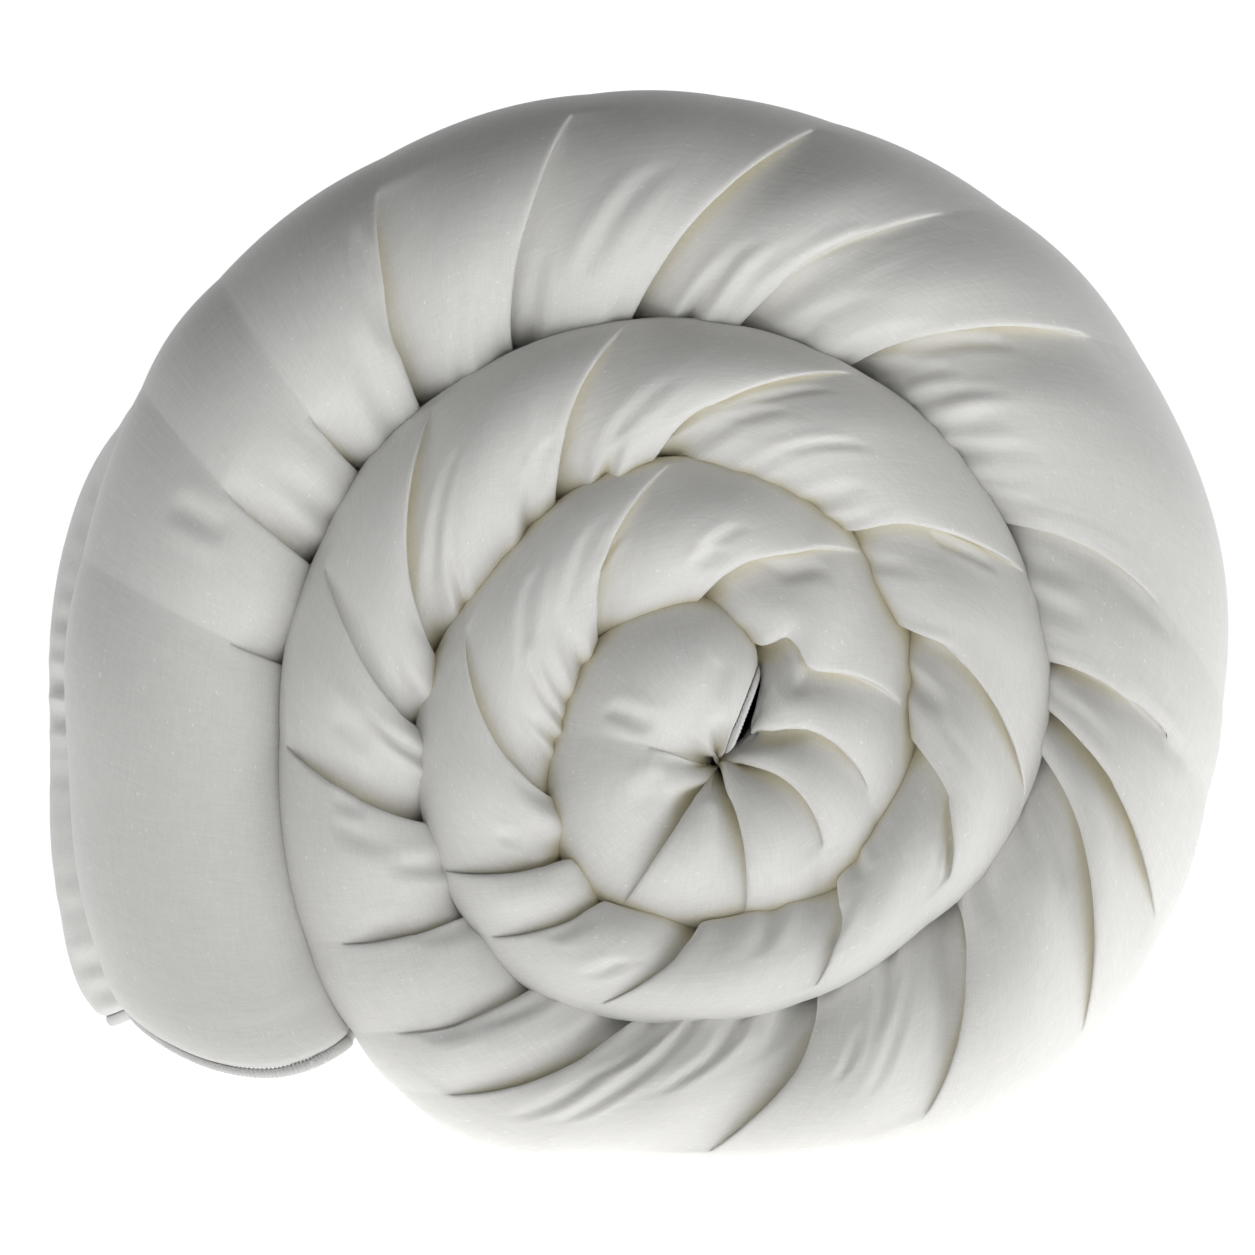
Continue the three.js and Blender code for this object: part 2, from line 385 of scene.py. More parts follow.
def section(inner, outer, part, share):
    """Where each row of each column is: its turn angle, its depth in from the folded edge, and how
    far under the outside of its turn the face and the back are."""
    turned = np.where(part == CROWN, share * math.pi, np.where(part < CROWN, 0, math.pi))
    across = (1 + np.cos(turned)) / 2
    bow = 1 + smooth((END_BOW_FROM - outer) / (END_BOW_FROM - FREE_END[1]))
    angle = mix(inner[:, None], outer[:, None], across[None, :] ** bow[:, None])
    top = np.interp(angle, ANGLES, OUTER)
    thick = top - np.interp(angle, ANGLES, INNER)
    fold = thick / 2
    wall_end = DEPTH - SEAM_TAPER
    rear = np.where(part == OUTER_TAPER, 1 - share, share) * math.pi / 2
    tapered = (part == OUTER_TAPER) | (part == INNER_TAPER)
    y = fold * (1 - np.sin(turned))
    y = np.where(part == OUTER_WALL, mix(wall_end, fold, share), y)
    y = np.where(part == INNER_WALL, mix(fold, wall_end, share), y)
    y = np.where(tapered, wall_end + SEAM_TAPER * np.sin(rear), y)
    closing = np.where(tapered, 1 - np.cos(rear), 0)
    face = thick * (1 - across)
    to_seam = (thick / 4 - SEAM / 2) * closing
    face = face + np.where(part < CROWN, to_seam, -to_seam)
    face = face - bulge(angle, y - fold) * (part < CROWN) * (1 - closing)
    pressed = PRESSED * smooth(1 - across / PRESSED_ACROSS)
    pressed = pressed * np.exp(-np.clip(y - fold, 0, 1) / PRESSED_BEHIND)
    face = face + np.where(angle < PRESSED_UNTIL, pressed, 0) * (part >= CROWN) * (1 - closing)
    slit = LEAF_GAP / 2
    back = fold - slit * np.cos(turned)
    from_seam = (thick / 4 - slit - SEAM / 2) * closing
    back = back + np.where(part < CROWN, -from_seam, from_seam)
    back_y = np.where(part == CROWN, fold + INNER_FOLD * (1 - np.sin(turned)), y)
    return dict(angle=angle, top=top, thick=thick, across=across, y=y, face=face, back=back,
                back_y=back_y)


def hill(x, middle, wide):
    """A bell of height 1."""
    return np.exp(-(((x - middle) / wide) ** 2))


def bulge(angle, behind):
    """How far the free end's outer side stands out behind the folded edge, in gathers."""
    here = smooth((BULGE_START - angle) / BULGE_OVER)
    shoulder = smooth((behind - SHOULDER_FROM) / SHOULDER_RISE)
    valley = VALLEY * hill(behind, VALLEY_AT, VALLEY_WIDE)
    # Waves of unlike lengths round the roll, so that no two gathers are the same
    ripple = np.sin(angle * 1.1 + 2.4 * np.sin(angle * 0.37)) + 0.6 * np.sin(angle * 2.3 + 1)
    ripple = ripple * (0.6 + 0.5 * np.sin(angle * 0.23 + 2))
    gathered = GATHER * ripple * hill(behind, GATHER_AT, GATHER_WIDE)
    lobe = hill(angle, LOBE_ANGLE, LOBE_REACH) * smooth(behind / LOBE_BEHIND)
    return here * (FREE_END_BULGE * shoulder - valley + gathered + LOBE * lobe)


def to_space(angle, radius, y):
    turned = np.radians(angle)
    return np.stack(
        [EYE_X + radius * np.sin(turned), FRONT + y, EYE_Z + radius * np.cos(turned)], axis=-1
    )


def unit(vectors):
    return vectors / np.maximum(np.linalg.norm(vectors, axis=-1, keepdims=True), 1e-12)


def lengths(points, axis):
    """Each point's distance along the cloth from the first one on its line."""
    step = np.linalg.norm(np.diff(points, axis=axis), axis=-1)
    first = np.zeros_like(np.take(step, [0], axis=axis))
    return np.concatenate([first, np.cumsum(step, axis=axis)], axis=axis)


def outward(points):
    """The way out of the cloth at every point of a grid."""
    along = np.gradient(points, axis=0)
    across = np.gradient(points, axis=1)
    return unit(np.cross(across, along))


def waves(u, v, size, seed):
    """Soft random waves about a size long over two lengths, from about -1 to 1."""
    random = np.random.default_rng(seed)
    total = 0
    for _ in range(WAVES):
        way = random.uniform(0, 2 * math.pi)
        long = size * random.uniform(*WAVE_SPREAD)
        phase = random.uniform(0, 2 * math.pi)
        slant = u * math.cos(way) + v * math.sin(way)
        total = total + np.sin(2 * math.pi * slant / long + phase)
    return total / math.sqrt(WAVES)


def gathers(u, v, apart, long, seed):
    """Random waves whose ridges lie across u, about as far apart and as long as asked."""
    random = np.random.default_rng(seed)
    total = 0
    for _ in range(WAVES):
        steep = 1 / (apart * random.uniform(*GATHER_SPREAD))
        slant = random.normal() / (2 * long)
        phase = random.uniform(0, 2 * math.pi)
        total = total + np.sin(2 * math.pi * (u * steep + v * slant) + phase)
    return total / math.sqrt(WAVES)


# --------------------------------------------------------------------------- pleats
EDGE_RADIUS = 5 * MM  # of the round edge that a leaf ends in
EDGE_SHARE = 0.2  # of a short leaf that the edge may take up
OVERLAP = 5 * MM  # how far the edge stands over the next leaf
TUCKED_BACK = 0.6  # of the overlap that the cloth in the tuck goes back by
EDGE_FADE = (3, 0.6)  # the overlap fades out over this many radii, or this share of a short leaf
UNDER_REACH = 34 * MM  # how far the next leaf takes to come up out of the tuck
UNDER_SHARE = 0.75  # or this share of a short leaf
UNDER_TUCK = 0.4  # of that reach, over which the next leaf slides back under the edge
UNDER_CURVE = 1.7
FULL_PLEAT = 12 * MM  # a pleat this deep has the whole overlap
FULL_CURVE = 0.5
PLEAT_CURVE = 0.6
PLEAT_BEHIND = 35 * MM
PUFF = 3 * MM  # how far the middle of a leaf is blown up
PUFF_LOST = 0.7  # how much of that is gone at the outer crease
DEEPER = 1.2  # every pleat's listed depth is multiplied by it
PIT = 0.14  # how much of a tuck goes down into the filling, the rest going back from the fold


def behind_fold(s, reach):
    """1 at the fold, dying away behind it."""
    return np.exp(-np.clip(s["y"] - s["thick"] / 2, 0, 1) / reach)


def leaf_starts(leaf):
    """The first column of each leaf, and the last column of all."""
    return [int(np.argmax(leaf == k)) for k in range(leaf.max() + 1)] + [len(leaf) - 1]


def pleat_depth(pleat, s, part):
    """How deep a pleat is at every row of every column."""
    reach, depth = pleat[2], DEEPER * pleat[3] * MM
    inside = np.clip(1 - s["across"] / reach, 0, 1) ** PLEAT_CURVE
    behind = behind_fold(s, PLEAT_BEHIND)
    behind = np.where(part == INNER_WALL, behind, np.where(part == INNER_TAPER, 0.0, 1.0))
    return depth * inside * behind


def pleated(points, s, part, leaf, place):
    """Moves the cloth into its pleats. Each is a tuck: the leaf before it ends in a round edge that
    stands over the leaf after it."""
    run = lengths(points, 0)
    along = unit(np.gradient(points, axis=0))
    out = outward(points)
    down = np.zeros(run.shape)
    slide = np.zeros(run.shape)
    starts = leaf_starts(leaf)
    for k, pleat in enumerate(PLEATS):
        first, at, last = starts[k], starts[k + 1], starts[k + 2]
        deep = pleat_depth(pleat, s, part)
        strength = np.clip(deep / FULL_PLEAT, 0, 1) ** FULL_CURVE
        before = slice(first, at + 1)
        gap = run[at] - run[before]
        wide = np.maximum(run[at] - run[first], 1e-6)
        edge = np.minimum(EDGE_RADIUS, EDGE_SHARE * wide)
        x = np.clip(gap / edge, 0, 1)
        down[before] += deep[before] * (1 - np.sqrt(np.clip(1 - (1 - x) ** 2, 0, 1)))
        fade = np.minimum(EDGE_FADE[0] * EDGE_RADIUS, EDGE_FADE[1] * wide)
        fade = np.clip(1 - gap / fade, 0, 1) ** 2
        over = OVERLAP * strength[before] * np.minimum(1, EDGE_SHARE * wide / EDGE_RADIUS)
        rolled = -TUCKED_BACK + (1 + TUCKED_BACK) * np.sin(x * math.pi / 2)
        slide[before] += over * rolled * fade
        under = slice(at + 1, last + 1)
        gap = run[under] - run[at]
        wide = np.maximum(run[last] - run[at], 1e-6)
        reach = np.minimum(UNDER_REACH, UNDER_SHARE * wide)
        down[under] += deep[under] * np.clip(1 - gap / reach, 0, 1) ** UNDER_CURVE
        tuck = OVERLAP * strength[under] * np.minimum(1, EDGE_SHARE * wide / EDGE_RADIUS)
        slide[under] -= TUCKED_BACK * tuck * np.clip(1 - gap / (UNDER_TUCK * reach), 0, 1) ** 2
    shown = np.where(part == CROWN, 1.0, 0.0)
    puff = PUFF * np.sin(np.clip(place, 0, 1) * math.pi)[:, None]
    puff = puff * (1 - PUFF_LOST * s["across"]) * shown
    inward = mix(BACKWARD, -out, PIT)
    return points + down[..., None] * inward + puff[..., None] * out + slide[..., None] * along


CREASES_PER_METRE = 105
CREASE_SEED = 19
CREASE_WIDTH = (2.0 * MM, 4.2 * MM)
CREASE_DEPTH = (1.2 * MM, 3.6 * MM)
CREASE_LEAN = 9 * MM
CREASE_LONG = (0.15, 0.42)  # how much of the way across the turn a crease runs
CREASE_CURVE = 0.8
CREASE_CLEAR = 0.04  # of a leaf that has no creases, at each pleat
CREASE_NEAR = 30  # columns either side that it may reach
RIDGES = ((-1.7, 0.45), (2, 0.3))  # the ridges beside it: how many widths away, and how high
CREASE_BEHIND = 25 * MM
ROOTED = 0.7  # the share of them that run out from the inner crease
LOOSE_FROM = (0.15, 0.45)  # how far across the others start
LOOSE_DEPTH = 0.45
CREASED_FROM = -66
WALL_WAVES = 2.2 * MM
WALL_WAVE_SIZES = (130 * MM, 60 * MM)
WALL_SEEDS = (21, 22)
PUCKERS = 1.3 * MM
PUCKERS_APART = 13 * MM
PUCKERS_LONG = 200 * MM
PUCKER_SEED = 23
PUCKER_REACH = 24 * MM
WALL_SMOOTH = 60 * MM  # the dents grow from nothing at the fold over this much
SEAM_SMOOTH = 12 * MM


def creases(points, s, part, leaf):
    """Small sharp folds that run out from the inner crease, and fainter ones part of the way
    across, as how far in each point of the cloth goes."""
    random = np.random.default_rng(CREASE_SEED)
    run = lengths(points, 0)
    middle = run.mean(axis=1)
    starts = leaf_starts(leaf)
    fronts = (part == CROWN) | (part == INNER_WALL)
    behind = behind_fold(s, CREASE_BEHIND)
    down = np.zeros(run.shape)
    for first, last in zip(starts[:-1], starts[1:]):
        count = random.poisson(CREASES_PER_METRE * (middle[last] - middle[first]))
        for _ in range(count):
            at = int(mix(first, last, random.uniform(CREASE_CLEAR, 1 - CREASE_CLEAR)))
            rooted = random.uniform() < ROOTED
            low = 0 if rooted else random.uniform(*LOOSE_FROM)
            long = random.uniform(*CREASE_LONG)
            deep = random.uniform(*CREASE_DEPTH) * (1 if rooted else LOOSE_DEPTH)
            wide = random.uniform(*CREASE_WIDTH)
            lean = random.normal() * CREASE_LEAN
            if s["angle"][at, -1] < CREASED_FROM:
                continue
            near = slice(max(0, at - CREASE_NEAR), at + CREASE_NEAR + 1)
            across = s["across"][None, :]
            along = (across - low) / long
            if rooted:
                profile = np.clip(1 - along, 0, 1) ** CREASE_CURVE
            else:
                profile = np.sqrt(np.clip(4 * along * (1 - along), 0, 1))
            gap = (run[near] - run[at] - lean * across) / wide
            valley = hill(gap, 0, 1)
            for away, high in RIDGES:
                valley = valley - high * hill(gap, away, 1)
            down[near] += deep * profile * valley * behind[near]
    return down * fronts[None, :]


def wall_waves(points, s, part):
    """Slow dents in the sides, and puckers beside the seams."""
    column = lengths(points, 0).mean(axis=1)[:, None]
    dents = waves(column, s["y"], WALL_WAVE_SIZES[0], WALL_SEEDS[0])
    dents = dents + 0.5 * waves(column, s["y"], WALL_WAVE_SIZES[1], WALL_SEEDS[1])
    from_fold = smooth((s["y"] - s["thick"] / 2) / WALL_SMOOTH)
    to_seam = np.clip(DEPTH - s["y"], 0, 1)
    puckered = gathers(column, s["y"], PUCKERS_APART, PUCKERS_LONG, PUCKER_SEED)
    puckered = puckered * np.exp(-to_seam / PUCKER_REACH)
    side = (part == OUTER_WALL) | (part == OUTER_TAPER)
    raised = WALL_WAVES * dents * from_fold + PUCKERS * puckered
    return raised * smooth(to_seam / SEAM_SMOOTH) * side


def drawn_in(face, back, run):
    """Draws the face and the back together to the seam across each end of the duvet."""
    from_core = (run[-1] - run) * CORE_END_SHARPER
    near = np.clip(np.minimum(run, from_core) / END_ROUNDING, 0, 1)
    pull = (1 - np.sqrt(1 - (1 - near) ** 2))[..., None]
    apart = np.linalg.norm(back - face, axis=-1, keepdims=True)
    keep = mix(1.0, np.minimum(SEAM / apart, 1.0), pull)
    seam = mix(face, back, SEAM_SHARE)
    return seam + (face - seam) * keep, seam + (back - seam) * keep


# --------------------------------------------------------------------------- the cloth's own folds
BAND_BEFORE, BAND_AFTER = 8, 5  # rows past the crown that settle with it
SPARE_CLOTH = 0.14  # extra length of the cloth at the inner crease
SPARE_CURVE = 1.2
WALL_SPARE = 0.6  # of that on the inner wall
PATCH = 60 * MM
PATCH_SEED = 11
PATCHY = (0.7, 1.1)  # the spare cloth's usual share, and how much it varies from patch to patch
TAIL_SPARE = 0.15  # of that before TAIL_ANGLE, where the free end is smooth
TAIL_ANGLE = -72
TAIL_OVER = 15
FOLD_HEIGHT = 0.9 * MM  # height of the waves that the small folds grow from
FOLD_APART = 17 * MM
FOLD_LENGTH = 110 * MM
FOLD_SEED = 5
STEPS = 260
STEPS_PER_NORMAL = 20
KEPT_SPEED = 0.9
HOLD = 0.006  # how far a point is drawn back to its place at each step, and more where named
PLEAT_HOLD = 0.12
OUTER_HOLD = 0.03
HOLD_REACH = 5 * MM
HELD_EDGE = 4  # rows over which the band's edges are held still
HELD_END = 1.2  # of END_ROUNDING, held at each end of the duvet
PRESSURE = 0.012 * MM
SHEAR = 0.5
BEND = 0.12
BEND_SPARE = 0.45
MOST_MOVE = 7 * MM
CREASE_IN = (0.2, 2.5)  # how much a crease goes into the filling: at the inner crease, and its growth
LUMPS = 0.7 * MM
LUMP_SIZE = 90 * MM
LUMP_SEED = 3


def pull_together(a, b, rest, stiff):
    """Moves two sets of points towards being their rest lengths apart."""
    apart = b - a
    long = np.sqrt(np.einsum("ijk,ijk->ij", apart, apart)) + 1e-9
    half = apart * (0.5 * stiff * (long - rest) / long)[..., None]
    a += half
    b -= half


def smoothed(values, axis, times=3):
    """Each point drawn to its neighbours along an axis, which takes out folds finer than the grid."""
    lined = np.moveaxis(values, axis, 0).copy()
    for _ in range(times):
        lined[1:-1] = lined[1:-1] / 2 + (lined[:-2] + lined[2:]) / 4
    return np.moveaxis(lined, 0, axis)


def relaxed(face, s, part, leaf):
    """Lets the cloth settle. Round the folded edge there is more cloth than the filling needs, most
    of it at the inner crease, so it buckles into small folds. At each step every link between two
    points of the grid is drawn to its length, and the filling pushes outwards."""
    crown = np.where(part == CROWN)[0]
    band = slice(crown[0] - BAND_BEFORE, crown[-1] + BAND_AFTER)
    target = face[:, band].copy()
    across = s["across"][band]
    run = lengths(target, 0)
    spare = SPARE_CLOTH * (1 - across) ** SPARE_CURVE
    spare = np.where(part[band] == INNER_WALL, SPARE_CLOTH * WALL_SPARE, spare)
    column = run.mean(axis=1)[:, None]
    patches = waves(column, lengths(target, 1), PATCH, PATCH_SEED)
    spare = spare[None, :] * np.clip(PATCHY[0] + PATCHY[1] * patches, 0, 2)
    spare *= mix(TAIL_SPARE, 1, smooth((s["angle"][:, band] - TAIL_ANGLE) / TAIL_OVER))
    x = target.copy()
    normal = outward(x)
    seed = gathers(column, lengths(target, 1), FOLD_APART, FOLD_LENGTH, FOLD_SEED)
    x += normal * (FOLD_HEIGHT * seed * (1 - across)[None, :])[..., None]
    to_pleat = np.min([np.abs(run - run[at]) for at in leaf_starts(leaf)[1:-1]], axis=0)
    hold = HOLD + (PLEAT_HOLD - HOLD) * np.exp(-(to_pleat / HOLD_REACH) ** 2)
    hold = hold + OUTER_HOLD * across[None, :] ** 4
    edge = np.minimum(np.arange(x.shape[1]), np.arange(x.shape[1])[::-1])
    hold = np.maximum(hold, np.clip(1 - edge / HELD_EDGE, 0, 1)[None, :])
    ends = np.minimum(run, run[-1] - run) / END_ROUNDING
    hold = np.maximum(hold, np.clip(1 - ends / HELD_END, 0, 1))[..., None]

    def links(along, over, stiff, extra):
        """The pairs so many columns along and rows over, in sets that share no point, with their
        lengths."""
        found = []
        count, size = x.shape[:2]
        for parity in range(2):
            lines = np.arange(count - along)
            cells = np.arange(max(0, -over), size - max(0, over))
            if along:
                lines = lines[(lines // along) % 2 == parity]
            else:
                cells = cells[(cells // over) % 2 == parity]
            a = np.ix_(lines, cells)
            b = np.ix_(lines + along, cells + over)
            rest = np.linalg.norm(target[b] - target[a], axis=-1) * (1 + extra[a])
            found.append((a, b, rest, stiff))
        return found

    none = 0 * spare
    pairs = links(1, 0, 1.0, spare) + links(0, 1, 1.0, none)
    pairs += links(1, 1, SHEAR, spare / 2) + links(1, -1, SHEAR, spare / 2)
    pairs += links(5, 0, BEND, BEND_SPARE * spare)
    pairs += links(0, 3, BEND, none) + links(0, 7, BEND, none)
    before = x.copy()
    for step in range(STEPS):
        if step % STEPS_PER_NORMAL == 0:
            normal = outward(x)
        moved = KEPT_SPEED * (x - before)
        before = x.copy()
        x = x + moved + PRESSURE * normal * (1 - across)[None, :, None]
        x += hold * (target - x)
        for a, b, rest, stiff in pairs:
            start, end = x[a], x[b]
            pull_together(start, end, rest, stiff)
            x[a], x[b] = start, end
    moved = smoothed(smoothed(x - target, 1), 0)
    long = np.linalg.norm(moved, axis=-1, keepdims=True)
    settled = face.copy()
    capped = moved * np.tanh(long / MOST_MOVE) * MOST_MOVE / np.maximum(long, 1e-9)
    settled[:, band] = target + capped
    return settled


def lay_cloth(part, share):
    """The face and the back of the duvet on one grid, the face in its pleats and creases."""
    inner, outer, leaf, place = columns()
    s = section(inner, outer, part, share)
    flat_face = to_space(s["angle"], s["top"] - s["face"], s["y"])
    back = to_space(s["angle"], s["top"] - s["back"], s["back_y"])
    run = lengths(flat_face, 0)
    face = pleated(flat_face, s, part, leaf, place)
    column = run.mean(axis=1)[:, None]
    lumps = waves(column, lengths(flat_face, 1), LUMP_SIZE, LUMP_SEED) * LUMPS
    free = np.where((part == OUTER_WALL) | (part == CROWN), 1.0, 0.0)
    raised = lumps * free * np.sqrt(s["across"]) + wall_waves(flat_face, s, part)
    face = face + raised[..., None] * outward(flat_face)
    ends = unit(np.gradient(mix(flat_face, back, SEAM_SHARE), axis=0))[[0, -1]]
    face, back = drawn_in(face, back, run)
    face = relaxed(face, s, part, leaf)
    # A crease goes back from the fold beside the inner crease, and into the filling elsewhere
    into_filling = smooth(CREASE_IN[0] + CREASE_IN[1] * s["across"])[None, :, None]
    inward = mix(BACKWARD, -outward(face), into_filling)
    face = face + creases(flat_face, s, part, leaf)[..., None] * inward
    face[..., 2] = np.maximum(face[..., 2], 0)
    return face, back, leaf, ends


def mesh_object(name, points, faces, material, normals=None, marks=None):
    """An object of a point list and four-sided faces, with its cloth lengths as a UV map."""
    mesh = bpy.data.meshes.new(name)
    mesh.vertices.add(len(points))
    mesh.vertices.foreach_set("co", np.ascontiguousarray(points, np.float32).ravel())
    mesh.loops.add(faces.size)
    mesh.loops.foreach_set("vertex_index", np.ascontiguousarray(faces, np.int32).ravel())
    mesh.polygons.add(len(faces))
    mesh.polygons.foreach_set("loop_start", np.arange(0, faces.size, 4, dtype=np.int32))
    mesh.update(calc_edges=True)
    mesh.polygons.foreach_set("use_smooth", np.ones(len(faces), bool))
    if marks is not None:
        layer = mesh.uv_layers.new(name="cloth")
        layer.data.foreach_set("uv", np.ascontiguousarray(marks[faces.ravel()], np.float32).ravel())
    if normals is not None:
        mesh.normals_split_custom_set_from_vertices(normals.tolist())
    mesh.materials.append(material)
    thing = bpy.data.objects.new(name, mesh)
    bpy.context.scene.collection.objects.link(thing)
    return thing


def grid_faces(count, size, closed=False):
    """The faces of a grid, its second way round closed into a tube or not."""
    index = np.arange(count * size).reshape(count, size)
    if closed:
        index = np.concatenate([index, index[:, :1]], axis=1)
    corners = (index[:-1, :-1], index[:-1, 1:], index[1:, 1:], index[1:, :-1])
    return np.stack([c.ravel() for c in corners], axis=1)


def sheet_of(name, points, normals, marks, material, turned_over=False):
    faces = grid_faces(*points.shape[:2])
    if turned_over:
        faces = faces[:, ::-1]
    flat = [v.reshape(-1, v.shape[-1]) for v in (points, normals, marks)]
    return mesh_object(name, flat[0], faces, material, flat[1], flat[2])


def place_piece(piece, slot, *nodes):
    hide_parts(*nodes)


def bridge(piece):
    """Bakes the piece's placement into its points."""
    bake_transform(piece)


# --------------------------------------------------------------------------- overlock hems
HEM_WIDTH = 4.2 * MM
HEM_THICK = 3.2 * MM
HEM_SIDES = 8
HEM_SQUARENESS = (0.7, 0.9)  # below 1 the section is squarer than an ellipse
HEM_TIP = 0.3  # how thick the two ends of a hem are, of its full thickness
HEM_TIP_LONG = 2 * MM
STATIONS_PER_RIB = 4
RIB_DEPTH = 0.22
END_PITCH = 1.4 * MM
SIDE_PITCH = 3.2 * MM


def overlock(name, path, reach, across, pitch, material):
    """A ribbed band of overlock thread along a path. At each point of it, reach points to the edge
    of the cloth and across points through its thickness."""
    run = lengths(path[:, None], 0)[:, 0]
    count = int(run[-1] / pitch * STATIONS_PER_RIB)
    at = np.linspace(0, run[-1], count + 1)

    def resample(v):
        return np.stack([np.interp(at, run, v[:, k]) for k in range(3)], axis=1)

    centre, reach, across = resample(path), unit(resample(reach)), unit(resample(across))
    rib = 1 - RIB_DEPTH * (0.5 + 0.5 * np.cos(2 * math.pi * at / pitch)) ** 2
    turned = np.arange(HEM_SIDES) * 2 * math.pi / HEM_SIDES
    wide = np.sign(np.cos(turned)) * np.abs(np.cos(turned)) ** HEM_SQUARENESS[0]
    thick = np.sign(np.sin(turned)) * np.abs(np.sin(turned)) ** HEM_SQUARENESS[1]
    ends = np.minimum(1, HEM_TIP + np.minimum(at, run[-1] - at) / HEM_TIP_LONG)
    half = (rib * ends)[:, None]
    points = centre[:, None] + reach[:, None] * (HEM_WIDTH / 2 * (1 + wide * half))[..., None]
    points = points + across[:, None] * (HEM_THICK / 2 * thick * half)[..., None]
    marks = np.stack(np.broadcast_arrays(at[:, None], turned * HEM_WIDTH / 3), axis=-1)
    faces = grid_faces(len(at), HEM_SIDES, closed=True)
    facing = np.einsum("ij,ij->i", np.cross(reach, across), np.gradient(centre, axis=0)).mean()
    if facing < 0:
        faces = faces[:, ::-1]
    return mesh_object(name, points.reshape(-1, 3), faces, material, None, marks.reshape(-1, 2))


# --------------------------------------------------------------------------- materials
FACE_COLOUR = (0.77, 0.765, 0.74)
BACK_COLOUR = (0.75, 0.745, 0.72)
THREAD_COLOUR = (0.74, 0.74, 0.73)
SATIN_COLOUR = (0.82, 0.82, 0.82)
COTTON_WEAVE = 0.45 * MM  # across one thread
THREAD_WEAVE = 0.5 * MM
SATIN_WEAVE = 0.3 * MM
THREAD_LONG = 7 * MM
THREAD_SHADES = (0.84, 1.16)  # the darkest and the lightest threads, as shares of the colour
NOISE_TURNED = (0.5, 0.3, 0.02)  # so that the noise's own grid doesn't line up with the cloth
SLUB = 22 * MM  # how long a thick stretch of yarn is, and how wide
YARN = 1.7 * MM
SLUB_HEIGHT = 0.4
SOFTNESS = 14 * MM
BUMP_STRENGTH = 0.4
BUMP_HEIGHT = 0.3 * MM
LINT = (1.6 * MM, 1.1 * MM)
LINT_ABOVE = (0.80, 0.84)  # the noise from which a speck of lint starts, and is full
LINT_WHITE = 0.6
SHEEN_ROUGHNESS = 0.45
SPECULAR = 0.25
# Painted shade: deep in the creases the cloth's colour is multiplied by a warm, darker tint
CREASE_REACH = 10 * MM
CREASE_SAMPLES = 6
CREASE_OPEN = (0.15, 0.6)  # how open a place is where the painted crease shade is full, and where it ends
PAINTED_CREASE_SHADE = (0.95, 0.9, 0.72)


def percale(name, colour, weave, rough=0.85, sheen=0.4):
    """Plain woven cloth: threads of two shades both ways, thick stretches in the yarn, a little lint,
    and painted shade: a warmer, darker colour deep in the creases."""
    made = plain_material(name, colour, rough)
    tree = made.node_tree
    shader = tree.nodes["Principled BSDF"]
    shader.inputs["Sheen Weight"].default_value = sheen
    shader.inputs["Sheen Roughness"].default_value = SHEEN_ROUGHNESS
    shader.inputs["Specular IOR Level"].default_value = SPECULAR

    def node(kind, **settings):
        added = tree.nodes.new(kind)
        for key, value in settings.items():
            if hasattr(added, key):
                setattr(added, key, value)
            else:
                added.inputs[key].default_value = value
        return added

    cloth = node("ShaderNodeUVMap", uv_map="cloth")

    def noise(along, over, detail):
        """Noise in marks of one length along the duvet and another across it."""
        scaled = node("ShaderNodeMapping")
        scaled.inputs["Scale"].default_value = (1 / along, 1 / over, 1)
        scaled.inputs["Rotation"].default_value = NOISE_TURNED
        tree.links.new(cloth.outputs["UV"], scaled.inputs["Vector"])
        made_noise = node("ShaderNodeTexNoise", Scale=1.0, Detail=detail)
        tree.links.new(scaled.outputs["Vector"], made_noise.inputs["Vector"])
        return made_noise.outputs["Fac"]

    def maths(kind, a, b):
        added = node("ShaderNodeMath", operation=kind)
        for socket, value in zip(added.inputs, (a, b)):
            if isinstance(value, (int, float)):
                socket.default_value = value
            else:
                tree.links.new(value, socket)
        return added.outputs["Value"]

    threads = maths("ADD", noise(THREAD_LONG, weave, 2), noise(weave, THREAD_LONG, 2))
    slubs = maths("ADD", noise(SLUB, YARN, 0), noise(YARN, SLUB, 0))
    height = maths("ADD", maths("MULTIPLY", slubs, SLUB_HEIGHT), noise(SOFTNESS, SOFTNESS, 1))
    bump = node("ShaderNodeBump", Strength=BUMP_STRENGTH, Distance=BUMP_HEIGHT)
    tree.links.new(height, bump.inputs["Height"])
    tree.links.new(bump.outputs["Normal"], shader.inputs["Normal"])
    shade = node("ShaderNodeMix", data_type="RGBA")
    tree.links.new(maths("MULTIPLY", threads, 0.5), shade.inputs["Factor"])
    shade.inputs["A"].default_value = (*(THREAD_SHADES[0] * c for c in colour), 1)
    shade.inputs["B"].default_value = (*(min(1, THREAD_SHADES[1] * c) for c in colour), 1)
    lint = mapped(tree, noise(*LINT, 0), LINT_ABOVE)
    speck = node("ShaderNodeMix", data_type="RGBA")
    tree.links.new(maths("MULTIPLY", lint, LINT_WHITE), speck.inputs["Factor"])
    tree.links.new(shade.outputs["Result"], speck.inputs["A"])
    speck.inputs["B"].default_value = (1, 1, 1, 1)
    # painted shade: the colour is darkened and warmed where the cloth is hidden in a crease
    hollow = node("ShaderNodeAmbientOcclusion", samples=CREASE_SAMPLES, only_local=True)
    hollow.inputs["Distance"].default_value = CREASE_REACH
    crease_shade = node("ShaderNodeMix", data_type="RGBA", blend_type="MULTIPLY")
    tree.links.new(mapped(tree, hollow.outputs["AO"], CREASE_OPEN, (1, 0)), crease_shade.inputs["Factor"])
    tree.links.new(speck.outputs["Result"], crease_shade.inputs["A"])
    crease_shade.inputs["B"].default_value = (*PAINTED_CREASE_SHADE, 1)
    tree.links.new(crease_shade.outputs["Result"], shader.inputs["Base Color"])
    return made


# --------------------------------------------------------------------------- the duvet
WALL_EVERY = 7  # on turns whose outer wall is covered, one row in so many is kept on it
WALL_NEAR_FOLD = 0.97
LINING_EVERY = 5  # the same for the lining, on its outer wall and round its fold

